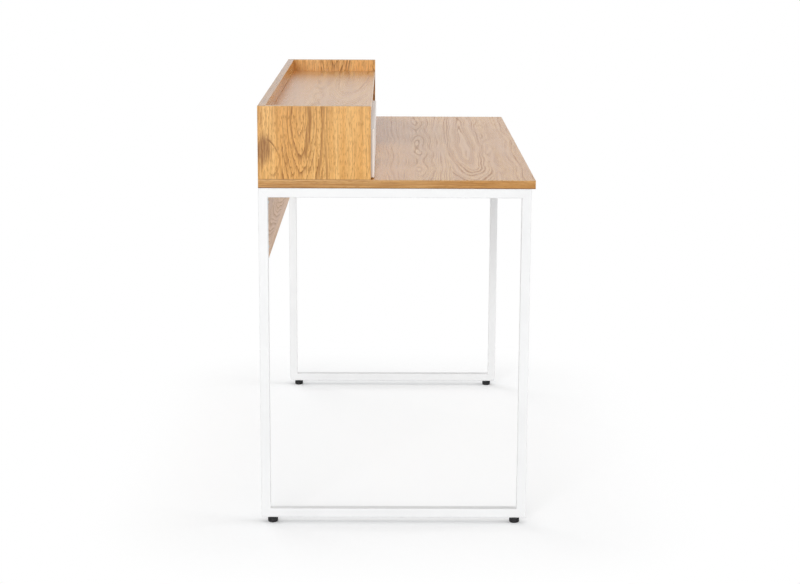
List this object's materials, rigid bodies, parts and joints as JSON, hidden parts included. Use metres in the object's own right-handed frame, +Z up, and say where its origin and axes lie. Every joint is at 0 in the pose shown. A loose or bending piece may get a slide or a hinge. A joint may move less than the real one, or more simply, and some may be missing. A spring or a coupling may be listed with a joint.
{
  "type": "desk with storage hutch",
  "caption": "Writing desk with a wooden top on square steel loop frames and a low hutch along the back that holds a sliding drawer, an open niche and a tray.",
  "frame": {"origin": "on the floor, under the middle of the desk top", "axes": "+X along the desk to the sitter's right, +Y from the sitter to the hutch, +Z up"},
  "size_m": [1.2, 0.58, 0.904],
  "materials": {
    "oak_laminate": "oak-pattern melamine on chipboard, satin",
    "white_coated_steel": "white powder coat, satin",
    "white_front": "white melamine on chipboard, satin",
    "drawer_box_board": "white melamine on chipboard, matt",
    "black_foot_plastic": "moulded, slight sheen",
    "dowel_beech": "bare beech",
    "runner_steel": "zinc-plated sheet",
    "fastener_steel": "zinc plated"
  },
  "bodies": {
    "desk": {"desk_top": "oak_laminate", "foot_nuts": "fastener_steel", "hutch_back": "oak_laminate", "hutch_cam_bolts": "fastener_steel", "hutch_cam_locks": "fastener_steel", "hutch_divider": "oak_laminate", "hutch_dowels": "dowel_beech", "hutch_left_side": "oak_laminate", "hutch_right_side": "oak_laminate", "hutch_screws": "fastener_steel", "hutch_shelf": "oak_laminate", "left_bottom_rail": "white_coated_steel", "left_front_leg": "white_coated_steel", "left_rear_leg": "white_coated_steel", "left_runner_outer": "runner_steel", "left_top_rail": "white_coated_steel", "modesty_panel": "oak_laminate", "modesty_screws": "fastener_steel", "panel_tabs": "white_coated_steel", "right_bottom_rail": "white_coated_steel", "right_front_leg": "white_coated_steel", "right_rear_leg": "white_coated_steel", "right_runner_outer": "runner_steel", "right_top_rail": "white_coated_steel", "runner_fixed_screws": "fastener_steel", "top_screws": "fastener_steel"},
    "drawer": {"drawer_back": "drawer_box_board", "drawer_back_screws": "fastener_steel", "drawer_bottom": "drawer_box_board", "drawer_bottom_screws": "fastener_steel", "drawer_cam_bolts": "fastener_steel", "drawer_cam_locks": "fastener_steel", "drawer_dowels": "dowel_beech", "drawer_front": "white_front", "drawer_left_side": "drawer_box_board", "drawer_right_side": "drawer_box_board", "left_runner_inner": "runner_steel", "right_runner_inner": "runner_steel", "runner_drawer_screws": "fastener_steel"},
    "left_ball_cage": {"left_runner_cage": "runner_steel", "left_runner_balls": "runner_steel"},
    "right_ball_cage": {"right_runner_cage": "runner_steel", "right_runner_balls": "runner_steel"},
    "foot_front_left": {"foot_base_front_left": "black_foot_plastic", "foot_stud_front_left": "fastener_steel"},
    "foot_rear_left": {"foot_base_rear_left": "black_foot_plastic", "foot_stud_rear_left": "fastener_steel"},
    "foot_front_right": {"foot_base_front_right": "black_foot_plastic", "foot_stud_front_right": "fastener_steel"},
    "foot_rear_right": {"foot_base_rear_right": "black_foot_plastic", "foot_stud_rear_right": "fastener_steel"}
  },
  "joints": [
    {"name": "drawer_slide", "type": "slide", "parent": "desk", "child": "drawer", "axis": [0, -1, 0], "range_m": [0, 0.13]},
    {"name": "left_cage_roll", "type": "slide", "parent": "desk", "child": "left_ball_cage", "axis": [0, -1, 0], "range_m": [0, 0.065]},
    {"name": "right_cage_roll", "type": "slide", "parent": "desk", "child": "right_ball_cage", "axis": [0, -1, 0], "range_m": [0, 0.065]},
    {"name": "foot_screw_front_left", "type": "slide", "parent": "desk", "child": "foot_front_left", "axis": [0, 0, -1], "range_m": [0, 0.008]},
    {"name": "foot_screw_rear_left", "type": "slide", "parent": "desk", "child": "foot_rear_left", "axis": [0, 0, -1], "range_m": [0, 0.008]},
    {"name": "foot_screw_front_right", "type": "slide", "parent": "desk", "child": "foot_front_right", "axis": [0, 0, -1], "range_m": [0, 0.008]},
    {"name": "foot_screw_rear_right", "type": "slide", "parent": "desk", "child": "foot_rear_right", "axis": [0, 0, -1], "range_m": [0, 0.008]}
  ],
  "couplings": [
    {"joint": "left_cage_roll", "follows": "drawer_slide", "ratio": 0.5},
    {"joint": "right_cage_roll", "follows": "drawer_slide", "ratio": 0.5}
  ]
}
